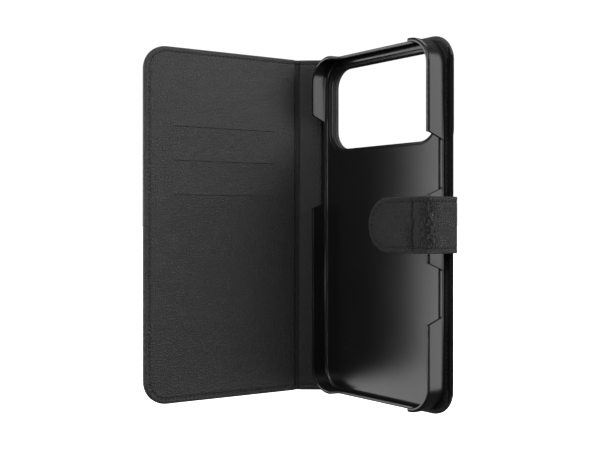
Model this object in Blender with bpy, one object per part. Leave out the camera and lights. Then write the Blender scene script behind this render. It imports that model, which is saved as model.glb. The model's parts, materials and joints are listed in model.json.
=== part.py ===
"""Phone wallet case: a leather folio with a snap-in phone tray, card pockets and a magnetic strap.

The case stands on its bottom edge, opened like a book. Each panel hangs on an empty on its hinge axis. In the
frame of the back, the spine and the cover, +Z is up and -Y is the inside, where the phone goes, and depth is
counted from the outer skin inward. The back runs along +X from its hinge, and every other panel along -X.
The strap's own frames have -Y on its outer side, and their depth is counted from the middle of the strap.
"""

from collections import namedtuple
from math import cos, pi, radians, sin

import bmesh
import bpy
from mathutils import Matrix, Vector

MM = 0.001

# The phone that the tray holds
PHONE_WIDTH = 78.0 * MM
PHONE_HEIGHT = 163.4 * MM
PHONE_DEPTH = 8.75 * MM
PHONE_CORNER = 11.0 * MM

# Phone tray
TRAY_FIT = 0.15 * MM            # between the phone and each wall
TRAY_WALL = 1.4 * MM
TRAY_FLOOR = 1.1 * MM
RIM_OVER_PHONE = 0.2 * MM       # the walls end this far above the phone's glass
LIP_REACH = 0.45 * MM           # the rim leans in over the phone's rounded edge
LIP_HEIGHT = 0.8 * MM
ADHESIVE = 0.15 * MM
ADHESIVE_INSET = 3.5 * MM

# Camera window, placed from the phone's edges
WINDOW_SIDE = 3.65 * MM
WINDOW_TOP = 3.6 * MM
WINDOW_HEIGHT = 40.3 * MM
WINDOW_CORNER = 9.5 * MM

# Notches in the side walls: their ends at the rim, counted down from the phone's top edge
NOTCH_SLANT = 3.2 * MM          # each end closes in by this much between the rim and the sill
NOTCH_SILL = 1.5 * MM           # wall left standing above the lining
RIGHT_NOTCHES = ((40.8 * MM, 68.6 * MM), (98.3 * MM, 125.4 * MM))
LEFT_NOTCH = (26.3 * MM, 73.6 * MM)
LEFT_SILL = 2.5 * MM

# Low walls at the top and the bottom, between the corner ears
EAR_LENGTH = 13.3 * MM
EAR_SLANT = 1.5 * MM
LOW_WALL = 4.6 * MM             # above the lining

# Leather, board and glue
LEATHER = 0.7 * MM
LINING = 0.6 * MM
BACK_BOARD = 0.6 * MM
COVER_BOARD = 0.5 * MM
GLUE = 0.1 * MM                 # gap between glued layers
BOARD_INSET = 1.2 * MM          # the boards stop short of the leather's edge
MITRE = 0.15 * MM               # clearance of each layer at a crease

# Panels around the tray
TRAY_SETBACK = 3.1 * MM         # from the crease of the back to the tray
BACK_MARGIN = 3.0 * MM          # past the tray at the free edge
END_MARGIN = 1.25 * MM          # past the tray at the top and the bottom
COVER_SHORT = 3.5 * MM          # the closed cover ends this far inside the back's free edge
CLOSING_GAP = 0.3 * MM          # between the closed cover and the tray's rim
PANEL_CORNER = 11.4 * MM
CREASE_CORNER = 0.8 * MM

# Raised plateau around the camera window, on the outside of the back
PLATEAU_RISE = 1.4 * MM
PLATEAU_BELOW = 6.0 * MM        # below the window
PLATEAU_CREASE = 2.4 * MM       # from the crease
PLATEAU_EDGE = 0.8 * MM         # from the free edge and the top
SURROUND_FIT = 0.15 * MM

# Card pockets in the cover
CARD_WIDTH = 53.98 * MM
SLIT_EASE = 0.6 * MM            # slit length past the card's width
SLIT_OPENING = 0.8 * MM
SLIT_TOP = 37.6 * MM            # first slit below the cover's top edge
SLIT_PITCH = 16.3 * MM
POCKET_NAMES = ("card_pocket_top", "card_pocket_middle", "card_pocket_bottom")
POCKET_SHEET = 0.12 * MM
POCKET_GAP = 0.06 * MM
POCKET_SEAM = 2.0 * MM          # the sheets reach this far past the slit on three sides
POCKET_FLOOR = 16.5 * MM        # bottom of the lowest pocket above the cover's bottom edge

# Strap
STRAP_WIDTH = 24.8 * MM
STRAP_LAYER = 0.8 * MM
STRAP_TIP = 37.5 * MM           # from the fold to the round end
STRAP_ROOT = 14.0 * MM          # sewn on the outside of the back
STRAP_CLEAR = 0.3 * MM          # between the strap and the closed cover
STRAP_SIDE_CLEAR = 0.2 * MM     # between the strap and the back's free edge
STRAP_FOLD_GAP = 0.2 * MM       # each rigid length stops this far outside the fold's round
MAGNET_AT = 25.0 * MM           # from the strap's fold
MAGNET_RADIUS = 5.5 * MM
MAGNET_THICKNESS = 0.5 * MM
MAGNET_FIT = 0.06 * MM
KEEPER_SIDE = 14.0 * MM
KEEPER_CORNER = 1.5 * MM
KEEPER_FIT = 0.3 * MM

# Sewing thread, laid in a shallow groove
THREAD_RADIUS = 0.2 * MM
THREAD_PROUD = 0.14 * MM
THREAD_INSET = 2.3 * MM
THREAD_END = 1.0 * MM           # the thread ends this far inside the crease side of its panel
GROOVE_FIT = 0.1 * MM
SEAM_TURN = 1.0 * MM            # corner radius of the seam on the strap's root

# How far the case is opened
SPINE_FOLD = 49.9               # degrees, the spine from the plane of the back
COVER_FOLD = 32.85              # degrees, the cover from the plane of the spine

ARC_STEPS = 8
CUT_OVER = 1.0 * MM             # cutters run past what they cut
WELD = 1e-6
FLAT = radians(0.1)             # faces this close to one plane are joined into one

# Sizes that follow from the ones above
tray_width = PHONE_WIDTH + 2 * (TRAY_FIT + TRAY_WALL)
tray_height = PHONE_HEIGHT + 2 * (TRAY_FIT + TRAY_WALL)
tray_corner = PHONE_CORNER + TRAY_FIT + TRAY_WALL
panel_height = tray_height + 2 * END_MARGIN
panel_half = panel_height / 2
back_width = TRAY_SETBACK + tray_width + BACK_MARGIN
cover_width = back_width - COVER_SHORT
board_depth = LEATHER + GLUE
lining_depth = board_depth + BACK_BOARD + GLUE
back_depth = lining_depth + LINING
floor_depth = back_depth + 2 * GLUE + ADHESIVE
floor_top = floor_depth + TRAY_FLOOR
rim_depth = floor_top + PHONE_DEPTH + RIM_OVER_PHONE
pockets_depth = board_depth + COVER_BOARD + GLUE
pocket_step = POCKET_SHEET + POCKET_GAP
card_panel_depth = pockets_depth + len(POCKET_NAMES) * pocket_step - POCKET_GAP + GLUE
cover_depth = card_panel_depth + LINING
spine_length = rim_depth + CLOSING_GAP + cover_depth
phone_left = TRAY_SETBACK + TRAY_WALL + TRAY_FIT
phone_top = PHONE_HEIGHT / 2
strap_half = STRAP_LAYER + GLUE / 2
strap_gap = strap_half + STRAP_FOLD_GAP
strap_axis_x = back_width + STRAP_SIDE_CLEAR + strap_half
strap_axis_y = GLUE + strap_half
strap_side = strap_axis_y + spine_length + STRAP_CLEAR + strap_half

Rect = namedtuple("Rect", "x0 x1 z0 z1 radii")

LOOKS = {                       # colour, roughness, metallic
    "leather": ((0.030, 0.030, 0.031), 0.60, 0.0),
    "lining": ((0.036, 0.036, 0.037), 0.62, 0.0),
    "board": ((0.200, 0.190, 0.170), 0.90, 0.0),
    "spacer": ((0.060, 0.060, 0.060), 0.70, 0.0),
    "adhesive": ((0.550, 0.550, 0.520), 0.50, 0.0),
    "plastic": ((0.012, 0.012, 0.013), 0.18, 0.0),
    "fabric": ((0.025, 0.025, 0.027), 0.85, 0.0),
    "steel": ((0.480, 0.480, 0.490), 0.35, 1.0),
    "magnet": ((0.340, 0.340, 0.350), 0.30, 1.0),
    "thread": ((0.020, 0.020, 0.021), 0.75, 0.0),
}

# Each prism's outline is drawn in a plane and pushed along the axis that is named here.
PLANES = {
    "X": Matrix(((0, 0, 1, 0), (1, 0, 0, 0), (0, 1, 0, 0), (0, 0, 0, 1))),
    "Y": Matrix(((1, 0, 0, 0), (0, 0, -1, 0), (0, 1, 0, 0), (0, 0, 0, 1))),
    "Z": Matrix.Identity(4),
}


def clear_scene():
    """Remove the objects that the scene starts with."""
    for thing in list(bpy.data.objects):
        bpy.data.objects.remove(thing)


def new_collection(name):
    """A collection in the scene."""
    group = bpy.data.collections.new(name)
    bpy.context.scene.collection.children.link(group)
    return group


def rectangle(rect):
    """Points of a rectangle, counter-clockwise from the lower left, with an arc at each rounded corner."""
    corners = ((rect.x0, rect.z0, 1, 1), (rect.x1, rect.z0, -1, 1),
               (rect.x1, rect.z1, -1, -1), (rect.x0, rect.z1, 1, -1))
    points = []
    for quarter, ((x, z, to_x, to_z), radius) in enumerate(zip(corners, rect.radii)):
        steps = ARC_STEPS if radius > 0 else 0
        for step in range(steps + 1):
            angle = pi + pi / 2 * (quarter + step / ARC_STEPS)
            points.append((x + to_x * radius + radius * cos(angle), z + to_z * radius + radius * sin(angle)))
    return points


def inset(rect, gap):
    """The same rectangle, smaller by a gap on every side."""
    radii = tuple(max(radius - gap, 0) for radius in rect.radii)
    return Rect(rect.x0 + gap, rect.x1 - gap, rect.z0 + gap, rect.z1 - gap, radii)


def seam(x_open, x_far, half, radius):
    """Line along the top edge, round the free edge and back along the bottom edge."""
    way = 1 if x_far > x_open else -1
    points = [(x_open, half)]
    for quarter, side in ((0, 1), (1, -1)):
        for step in range(ARC_STEPS + 1):
            angle = pi / 2 * (quarter + step / ARC_STEPS)
            x = x_far + way * radius * (sin(angle) - 1)
            z = side * (half - radius) + radius * cos(angle)
            if (Vector((x, z)) - Vector(points[-1])).length > WELD:
                points.append((x, z))
    points.append((x_open, -half))
    return points


def prism_mesh(name, loops, start, end, axis):
    """Closed mesh of a flat outline, with any holes, pushed from start to end along an axis."""
    curve = bpy.data.curves.new(name, "CURVE")
    curve.dimensions = "2D"
    curve.fill_mode = "BOTH"
    curve.extrude = (end - start) / 2
    for loop in loops:
        spline = curve.splines.new("POLY")
        spline.points.add(len(loop) - 1)
        for point, (across, up) in zip(spline.points, loop):
            point.co = (across, up, 0, 1)
        spline.use_cyclic_u = True
    drawn = bpy.data.objects.new(name, curve)
    bpy.context.scene.collection.objects.link(drawn)
    mesh = bpy.data.meshes.new_from_object(drawn.evaluated_get(bpy.context.evaluated_depsgraph_get()))
    bpy.data.objects.remove(drawn)
    bpy.data.curves.remove(curve)
    work = bmesh.new()
    work.from_mesh(mesh)
    bmesh.ops.remove_doubles(work, verts=work.verts, dist=WELD)
    bmesh.ops.dissolve_limit(work, angle_limit=FLAT, verts=work.verts, edges=work.edges)
    bmesh.ops.translate(work, verts=work.verts, vec=(0, 0, (start + end) / 2))
    bmesh.ops.transform(work, verts=work.verts, matrix=PLANES[axis])
    bmesh.ops.recalc_face_normals(work, faces=work.faces)
    work.to_mesh(mesh)
    work.free()
    mesh.name = name
    return mesh


def finish(piece, look):
    """Give a piece its own material."""
    colour, roughness, metallic = LOOKS[look]
    surface = bpy.data.materials.new(piece.name)
    surface.use_nodes = True
    shader = surface.node_tree.nodes["Principled BSDF"]
    shader.inputs["Base Color"].default_value = (*colour, 1)
    shader.inputs["Roughness"].default_value = roughness
    shader.inputs["Metallic"].default_value = metallic
    surface.diffuse_color = (*colour, 1)
    piece.data.materials.append(surface)


def place(name, data, body, group):
    """An object in a body's own frame."""
    thing = bpy.data.objects.new(name, data)
    thing.parent = body
    group.objects.link(thing)
    return thing


def slab(name, body, look, loops, start, end):
    """A flat piece between two depths."""
    piece = place(name, prism_mesh(name, loops, start, end, "Y"), body, parts)
    finish(piece, look)
    return piece


def cutter(name, body, loops, start, end, axis="Y"):
    """A guide shape that a Boolean reads and that isn't part of the object."""
    shape = place(name, prism_mesh(name, loops, start, end, axis), body, cutters)
    shape.hide_render = True
    shape.display_type = "WIRE"
    return shape


def shape_by(piece, tool, operation="DIFFERENCE"):
    """Cut a piece with a guide shape, or join the shape to it."""
    step = piece.modifiers.new(tool.name, "BOOLEAN")
    step.operation = operation
    step.solver = "EXACT"
    step.object = tool


def thread(name, body, line, depth):
    """Sewing thread along a line, at a depth of its middle."""
    curve = bpy.data.curves.new(name, "CURVE")
    curve.dimensions = "3D"
    curve.bevel_depth = THREAD_RADIUS
    curve.bevel_resolution = 1
    curve.use_fill_caps = True
    spline = curve.splines.new("POLY")
    spline.points.add(len(line) - 1)
    for point, (x, z) in zip(spline.points, line):
        point.co = (x, -depth, z, 1)
    piece = place(name, curve, body, parts)
    finish(piece, "thread")


def sew(name, body, piece, x_open, x_far, half, radius, face, inward):
    """Thread along three edges of a panel, in a groove in the face that it lies on."""
    thread(name, body, seam(x_open, x_far, half, radius), face + inward * (THREAD_RADIUS - THREAD_PROUD))
    way = 1 if x_far > x_open else -1
    reach = THREAD_RADIUS + GROOVE_FIT
    outer = seam(x_open - way * reach, x_far + way * reach, half + reach, radius + reach)
    inner = seam(x_open - way * reach, x_far - way * reach, half - reach, radius - reach)
    bottom = face + inward * (2 * THREAD_RADIUS - THREAD_PROUD + GROOVE_FIT / 2)
    mouth = face - inward * CUT_OVER
    groove = cutter(name + "_groove", body, [outer + inner[::-1]], min(bottom, mouth), max(bottom, mouth))
    shape_by(piece, groove)


def make_body(name, location, turn, parent):
    """Empty on a joint's axis, turned to the opened position."""
    body = bpy.data.objects.new(name, None)
    body.location = location
    body.rotation_euler = (0, 0, radians(turn))
    body.parent = parent
    body.empty_display_size = 10 * MM
    parts.objects.link(body)
    return body


def back_outline():
    """Edge of the back, from the crease to the free edge."""
    return Rect(0, back_width, -panel_half, panel_half,
                (CREASE_CORNER, PANEL_CORNER, PANEL_CORNER, CREASE_CORNER))


def cover_outline():
    """Edge of the cover, from its free edge to the crease."""
    return Rect(-cover_width, 0, -panel_half, panel_half,
                (PANEL_CORNER, CREASE_CORNER, CREASE_CORNER, PANEL_CORNER))


def past_crease(rect, layer_end):
    """Trim a panel's layer at its crease, so that the mitre stays clear when the panel is folded shut."""
    gap = layer_end + MITRE
    if rect.x0 == 0:
        return rect._replace(x0=gap)
    return rect._replace(x1=-gap)


def window_loop():
    """Edge of the camera window, which goes through every layer of the back."""
    left = phone_left + WINDOW_SIDE
    right = phone_left + PHONE_WIDTH - WINDOW_SIDE
    top = phone_top - WINDOW_TOP
    return Rect(left, right, top - WINDOW_HEIGHT, top, (WINDOW_CORNER,) * 4)


def board_outline(rect, layer_end):
    """A board, short of the leather's edges and clear of the crease."""
    return inset(past_crease(rect, layer_end), BOARD_INSET)


def make_back_leather(body):
    """Outer skin of the back, raised around the camera window over a pocket for the spacer."""
    base = past_crease(back_outline(), LEATHER)
    skin = slab("back_outer_leather", body, "leather", [rectangle(base)], 0, LEATHER)
    edge = plateau_outline()
    raised = cutter("plateau", body, [rectangle(edge)], -PLATEAU_RISE, LEATHER / 2)
    shape_by(skin, raised, "UNION")
    pocket = cutter("plateau_pocket", body, [rectangle(inset(edge, LEATHER))],
                    LEATHER - PLATEAU_RISE, LEATHER + CUT_OVER)
    shape_by(skin, pocket)
    shape_by(skin, window_cutter(body))


def plateau_outline():
    """Edge of the raised plateau."""
    window = window_loop()
    return Rect(PLATEAU_CREASE, back_width - PLATEAU_EDGE, window.z0 - PLATEAU_BELOW,
                panel_half - PLATEAU_EDGE, (PANEL_CORNER - PLATEAU_EDGE,) * 4)


def window_cutter(body):
    """The camera window as a cutter, one for all layers."""
    found = cutters.objects.get("window")
    if found is None:
        found = cutter("window", body, [rectangle(window_loop())], -PLATEAU_RISE - CUT_OVER, floor_top + CUT_OVER)
    return found


def make_back(body):
    """Layers of the back panel, from the outer skin to the lining."""
    window = rectangle(window_loop())
    make_back_leather(body)
    spacer = inset(plateau_outline(), LEATHER + SURROUND_FIT)
    slab("camera_surround", body, "spacer", [rectangle(spacer), window],
         LEATHER - PLATEAU_RISE + GLUE, LEATHER)
    board = board_outline(back_outline(), board_depth + BACK_BOARD)
    slab("back_board", body, "board", [rectangle(board), window], board_depth, board_depth + BACK_BOARD)
    cloth = past_crease(back_outline(), back_depth)
    lining = slab("back_lining", body, "lining", [rectangle(cloth), window], lining_depth, back_depth)
    sew("back_stitching", body, lining, cloth.x0 + THREAD_END, back_width - THREAD_INSET,
        panel_half - THREAD_INSET, PANEL_CORNER - THREAD_INSET, back_depth, -1)


def tray_outline():
    """Outside of the tray's walls."""
    return Rect(TRAY_SETBACK, TRAY_SETBACK + tray_width, -tray_height / 2, tray_height / 2, (tray_corner,) * 4)


def notch_loop(low, high, slant, sill):
    """Section of a notch in a wall, as (y, place along the wall): low and high are its ends at the rim.

    Each end slants in by slant between the rim and the sill, and the outline runs on past the rim.
    """
    bottom = -back_depth - sill
    over = -rim_depth - CUT_OVER
    spread = slant * CUT_OVER / (rim_depth - back_depth - sill)
    return [(bottom, low + slant), (bottom, high - slant), (over, high + spread), (over, low - spread)]


def make_tray(body):
    """Moulded tray: a floor, walls with notches, corner ears and an inward lip."""
    edge = tray_outline()
    tray = slab("phone_tray", body, "plastic", [rectangle(edge)], floor_depth, rim_depth)
    inside = inset(edge, TRAY_WALL)
    cavity = cutter("tray_cavity", body, [rectangle(inside)], floor_top, rim_depth - LIP_HEIGHT)
    shape_by(tray, cavity)
    mouth = cutter("tray_mouth", body, [rectangle(inset(inside, LIP_REACH))],
                   rim_depth - LIP_HEIGHT - CUT_OVER, rim_depth + CUT_OVER)
    shape_by(tray, mouth)
    for number, (start, end) in enumerate(RIGHT_NOTCHES, 1):
        section = notch_loop(phone_top - end, phone_top - start, NOTCH_SLANT, NOTCH_SILL)
        notch = cutter(f"notch_right_{number}", body, [section], inside.x1 - CUT_OVER, edge.x1 + CUT_OVER, "X")
        shape_by(tray, notch)
    start, end = LEFT_NOTCH
    section = notch_loop(phone_top - end, phone_top - start, NOTCH_SLANT, LEFT_SILL)
    shape_by(tray, cutter("notch_left", body, [section], edge.x0 - CUT_OVER, inside.x0 + CUT_OVER, "X"))
    section = notch_loop(edge.x0 + EAR_LENGTH, edge.x1 - EAR_LENGTH, EAR_SLANT, LOW_WALL)
    low_walls = [(x, y) for y, x in section]
    shape_by(tray, cutter("low_walls", body, [low_walls], edge.z0 - CUT_OVER, edge.z1 + CUT_OVER, "Z"))
    shape_by(tray, window_cutter(body))
    sheet = inset(edge, ADHESIVE_INSET)
    hole = inset(window_loop(), -CUT_OVER)
    slab("tray_adhesive", body, "adhesive", [rectangle(sheet), rectangle(hole)],
         back_depth + GLUE, back_depth + GLUE + ADHESIVE)


def make_spine(body):
    """Layers of the spine, clear of the crease at each end."""
    layers = (("spine_outer_leather", "leather", 0, LEATHER, 0),
              ("spine_board", "board", board_depth, board_depth + BACK_BOARD, BOARD_INSET),
              ("spine_lining", "lining", lining_depth, back_depth, 0))
    for name, look, start, end, short in layers:
        gap = end + MITRE + short
        edge = Rect(gap - spine_length, -gap, short - panel_half, panel_half - short, (0,) * 4)
        slab(name, body, look, [rectangle(edge)], start, end)


def slit_heights():
    """Middle of each card slit."""
    return [panel_half - SLIT_TOP - number * SLIT_PITCH for number in range(len(POCKET_NAMES))]


def make_pockets(body):
    """Fabric sheet behind each slit, the top pocket's next to the board."""
    reach = (CARD_WIDTH + SLIT_EASE) / 2 + POCKET_SEAM
    middle = -cover_width / 2
    for number, (name, slit) in enumerate(zip(POCKET_NAMES, slit_heights())):
        bottom = -panel_half + POCKET_FLOOR + (len(POCKET_NAMES) - 1 - number) * SLIT_PITCH
        sheet = Rect(middle - reach, middle + reach, bottom, slit + POCKET_SEAM, (0,) * 4)
        start = pockets_depth + number * pocket_step
        slab(name, body, "fabric", [rectangle(sheet)], start, start + POCKET_SHEET)


def make_cover(body):
    """Layers of the front cover, with the keeper plate where the closed strap's magnet lies."""
    skin = past_crease(cover_outline(), LEATHER)
    slab("cover_outer_leather", body, "leather", [rectangle(skin)], 0, LEATHER)
    board = board_outline(cover_outline(), board_depth + COVER_BOARD)
    middle = MAGNET_AT - strap_axis_x
    half = KEEPER_SIDE / 2
    keeper = Rect(middle - half, middle + half, -half, half, (KEEPER_CORNER,) * 4)
    slab("cover_board", body, "board", [rectangle(board), rectangle(inset(keeper, -KEEPER_FIT))],
         board_depth, board_depth + COVER_BOARD)
    slab("keeper_plate", body, "steel", [rectangle(keeper)], board_depth, board_depth + COVER_BOARD)
    make_pockets(body)
    edge = past_crease(cover_outline(), cover_depth)
    middle = -cover_width / 2
    reach = (CARD_WIDTH + SLIT_EASE) / 2
    slits = []
    for height in slit_heights():
        slit = Rect(middle - reach, middle + reach, height - SLIT_OPENING / 2, height + SLIT_OPENING / 2, (0,) * 4)
        slits.append(rectangle(slit))
    panel = slab("card_panel", body, "lining", [rectangle(edge)] + slits, card_panel_depth, cover_depth)
    sew("cover_stitching", body, panel, edge.x1 - THREAD_END, -cover_width + THREAD_INSET,
        panel_half - THREAD_INSET, PANEL_CORNER - THREAD_INSET, cover_depth, -1)


def disc(centre_x, radius):
    """Points of a circle."""
    steps = 4 * ARC_STEPS
    return [(centre_x + radius * cos(2 * pi * step / steps), radius * sin(2 * pi * step / steps))
            for step in range(steps)]


def make_strap_root(body):
    """End of the strap, sewn on the outside of the back at its free edge."""
    half = STRAP_WIDTH / 2
    outside = -2 * strap_half - GLUE
    tab = Rect(back_width - STRAP_ROOT, back_width, -half, half, (0,) * 4)
    leather = slab("strap_root", body, "leather", [rectangle(tab)], outside, -GLUE)
    sew("strap_root_thread", body, leather, tab.x1 - THREAD_END, tab.x0 + THREAD_INSET, half - THREAD_INSET,
        SEAM_TURN, outside + THREAD_PROUD, 1)


def make_strap_side(body):
    """Length of strap that runs past the tray, from the back to the fold over the cover."""
    half = STRAP_WIDTH / 2
    edge = Rect(strap_gap - strap_side, -strap_gap, -half, half, (0,) * 4)
    skin = slab("strap_side_leather", body, "leather", [rectangle(edge)], GLUE / 2, strap_half)
    slab("strap_side_lining", body, "lining", [rectangle(edge)], -strap_half, -GLUE / 2)
    reach = THREAD_RADIUS + GROOVE_FIT
    for name, side in (("strap_side_thread_upper", 1), ("strap_side_thread_lower", -1)):
        height = side * (half - THREAD_INSET)
        ends = (edge.x1 - THREAD_END, edge.x0 + THREAD_END)
        thread(name, body, [(x, height) for x in ends], strap_half - THREAD_RADIUS + THREAD_PROUD)
        channel = Rect(edge.x0 - CUT_OVER, edge.x1 + CUT_OVER, height - reach, height + reach, (0,) * 4)
        bottom = strap_half - 2 * THREAD_RADIUS + THREAD_PROUD - GROOVE_FIT / 2
        shape_by(skin, cutter(name + "_groove", body, [rectangle(channel)], bottom, strap_half + CUT_OVER))


def make_strap_tip(body):
    """Round end of the strap, with the magnet between its two leathers."""
    half = STRAP_WIDTH / 2
    edge = Rect(-STRAP_TIP, -strap_gap, -half, half, (half, 0, 0, half))
    skin = slab("strap_tip_leather", body, "leather", [rectangle(edge)], GLUE / 2, strap_half)
    lining = slab("strap_tip_lining", body, "lining", [rectangle(edge)], -strap_half, -GLUE / 2)
    slab("clasp_magnet", body, "magnet", [disc(-MAGNET_AT, MAGNET_RADIUS)],
         -MAGNET_THICKNESS / 2, MAGNET_THICKNESS / 2)
    seat = cutter("magnet_seat", body, [disc(-MAGNET_AT, MAGNET_RADIUS + MAGNET_FIT)],
                  -MAGNET_THICKNESS / 2 - MAGNET_FIT, MAGNET_THICKNESS / 2 + MAGNET_FIT)
    shape_by(skin, seat)
    shape_by(lining, seat)
    sew("strap_tip_thread", body, skin, -strap_gap - THREAD_END, -STRAP_TIP + THREAD_INSET,
        half - THREAD_INSET, half - THREAD_INSET, strap_half, -1)


def stand_on_origin(root):
    """Move the whole case so that the middle of its bottom is the origin."""
    bpy.context.view_layer.update()
    graph = bpy.context.evaluated_depsgraph_get()
    low = Vector((1e9, 1e9, 1e9))
    high = -low
    for piece in parts.objects:
        if piece.type == "EMPTY":
            continue
        solid = piece.evaluated_get(graph)
        mesh = solid.to_mesh()
        for vertex in mesh.vertices:
            point = solid.matrix_world @ vertex.co
            low = Vector(map(min, low, point))
            high = Vector(map(max, high, point))
        solid.to_mesh_clear()
    root.location = (-(low.x + high.x) / 2, -(low.y + high.y) / 2, -low.z)
    bpy.context.view_layer.update()


clear_scene()
parts = new_collection("phone_wallet_case")
cutters = new_collection("cutters")
back = make_body("back", (0, 0, 0), 0, None)
spine = make_body("spine", (0, 0, 0), SPINE_FOLD, back)
cover = make_body("front_cover", (-spine_length, 0, 0), COVER_FOLD, spine)
strap = make_body("strap_side", (strap_axis_x, strap_axis_y, 0), 90, back)
tip = make_body("strap_tip", (-strap_side, 0, 0), -90, strap)
make_back(back)
make_tray(back)
make_strap_root(back)
make_spine(spine)
make_cover(cover)
make_strap_side(strap)
make_strap_tip(tip)
stand_on_origin(back)
for joint in (back, spine, cover, strap, tip):
    print(joint.name, [round(value, 5) for value in joint.matrix_world.translation])
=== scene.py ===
# %% [markdown]
# # A leather phone wallet case, opened like a book
#
# The case is three stiff leather panels joined by two soft creases: the back, the spine and the
# cover. The back carries a moulded tray for the phone, the cover holds three card pockets, and a
# strap with a magnet closes it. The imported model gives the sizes, the places and the joints. This
# lesson gives each part its looks. Every leather piece is first made flat, as a leather worker cuts
# it, and is folded afterwards. That way one grain pattern runs over the creases, and the pieces
# bend where the real leather bends.

# %% Load the frame
import json
from math import cos, pi, radians, sin, tan

import bmesh
import bpy
from mathutils import Matrix, Vector, noise


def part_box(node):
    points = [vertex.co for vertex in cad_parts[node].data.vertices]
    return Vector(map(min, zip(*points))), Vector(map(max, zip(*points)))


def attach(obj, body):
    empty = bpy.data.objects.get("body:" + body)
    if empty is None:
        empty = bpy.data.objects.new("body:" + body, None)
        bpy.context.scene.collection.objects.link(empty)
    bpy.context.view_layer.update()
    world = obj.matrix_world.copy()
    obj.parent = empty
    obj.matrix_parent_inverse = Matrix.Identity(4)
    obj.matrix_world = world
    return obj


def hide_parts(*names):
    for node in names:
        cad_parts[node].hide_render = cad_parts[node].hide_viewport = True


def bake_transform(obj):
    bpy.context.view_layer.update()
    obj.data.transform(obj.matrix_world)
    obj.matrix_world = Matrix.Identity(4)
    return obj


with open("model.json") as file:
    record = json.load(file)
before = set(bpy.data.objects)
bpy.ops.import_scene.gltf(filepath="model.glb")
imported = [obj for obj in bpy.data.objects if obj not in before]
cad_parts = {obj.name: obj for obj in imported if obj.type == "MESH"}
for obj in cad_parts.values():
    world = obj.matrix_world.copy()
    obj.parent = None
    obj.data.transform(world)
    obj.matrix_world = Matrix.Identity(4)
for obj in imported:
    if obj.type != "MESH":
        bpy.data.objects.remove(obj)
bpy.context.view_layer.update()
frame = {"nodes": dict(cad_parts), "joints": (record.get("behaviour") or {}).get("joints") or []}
MM = 0.001
joints = {joint["name"]: joint for joint in frame["joints"]}

# %% [markdown]
# ## Sizes
#
# The outer skin of the back lies in one plane, and the spine's hinge axis lies in that skin. So the
# axis gives the skin's plane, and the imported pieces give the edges. `reach` is counted along the
# leather from the free edge of the back, over the spine, to the free edge of the cover. `depth` is
# counted from the outer skin to the inside.

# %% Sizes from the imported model
def joint_spot(name):
    """Where a joint's axis stands, seen from above."""
    return Vector(joints[name]["pos_m"][:2])


spine_spot, cover_spot = joint_spot("spine_fold"), joint_spot("cover_fold")
root_spot, tip_spot = joint_spot("strap_root_fold"), joint_spot("strap_tip_fold")
spine_turn = radians(90 - joints["spine_fold"]["range_deg"][1])
cover_turn = radians(90 - joints["cover_fold"]["range_deg"][1])
mid_height = joints["spine_fold"]["pos_m"][2]
back_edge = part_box("back_outer_leather")[1].x
back_reach = back_edge - spine_spot.x
spine_reach = (cover_spot - spine_spot).length
cover_far = Vector((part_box("cover_outer_leather")[0].x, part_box("cover_outer_leather")[0].y))
cover_reach = 83.7 * MM
cover_crease = back_reach + spine_reach
far_reach = cover_crease + cover_reach
half_height = (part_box("back_lining")[1].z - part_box("back_lining")[0].z) / 2
LEATHER, LINING_BASE, LINING_TOP = 0.7 * MM, 1.5 * MM, 2.1 * MM
CARD_BASE, CARD_TOP = 1.98 * MM, 2.58 * MM
PANEL_CORNER = 11.4 * MM
print("reach of the back, spine and cover in mm:",
      [round(size / MM, 2) for size in (back_reach, spine_reach, cover_reach)])

# %% [markdown]
# ## The camera, the light and the table
#
# The case stands on its lower edge, and the camera looks level at its middle. Black leather and
# black plastic show their shape by what they reflect, so the light comes from soft panels. Two on
# the left light the cover and give the tray its gloss, one behind to the right lights the outside
# of its walls, and one hangs above. A tall thin strip in front draws narrow lines on the rims, and
# a small panel over the camera lights what faces it. Lamps without size would be simpler, but they
# leave hard spots on gloss.
#
# The backdrop is white only where the camera sees it, and gives the case little light, so black
# stays black. For the same reason the table glows by itself and doesn't show in the case's
# reflections.

# %% Camera
CAMERA_SPOT = Vector((0.32445, -0.25464, mid_height))
CAMERA_TURN, LENS, SENSOR_WIDTH = radians(51.62), 54.66, 36.0
camera = bpy.data.objects.new("camera", bpy.data.cameras.new("camera"))
camera.data.lens, camera.data.sensor_width = LENS, SENSOR_WIDTH
camera.location = CAMERA_SPOT
camera.rotation_euler = (pi / 2, 0, CAMERA_TURN)
bpy.context.scene.collection.objects.link(camera)
bpy.context.scene.camera = camera
bpy.context.scene.view_settings.view_transform = "Standard"
print("camera", [round(value, 3) for value in camera.location])


# %% Soft lights
def softbox(name, spot, target, width, height, power):
    """A large soft panel of light at a spot, turned towards a target."""
    light = bpy.data.lights.new(name, "AREA")
    light.shape, light.size, light.size_y, light.energy = "RECTANGLE", width, height, power
    lamp = bpy.data.objects.new(name, light)
    lamp.location = spot
    lamp.rotation_euler = (Vector(target) - Vector(spot)).to_track_quat("-Z", "Y").to_euler()
    bpy.context.scene.collection.objects.link(lamp)
    print(name, power, "W")


CASE_MIDDLE = (0, 0, 0.085)
softbox("left_panel", (-0.75, -0.62, 0.14), CASE_MIDDLE, 0.7, 0.8, 5.0)
softbox("left_wall", (-1.25, -1.05, 0.2), CASE_MIDDLE, 1.9, 1.6, 6.0)
softbox("right_panel", (0.92, 0.44, 0.24), (-0.04, 0, 0.085), 1.3, 1.2, 12.5)
softbox("top_panel", (0.0, 0.2, 0.95), (0, 0, 0.1), 0.6, 0.6, 4.0)
softbox("front_strip", (-0.08, -1.1, 0.1), CASE_MIDDLE, 0.06, 1.0, 3.8)
softbox("over_camera", (0.38, -0.66, 0.70), CASE_MIDDLE, 0.5, 0.5, 2.4)

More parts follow.
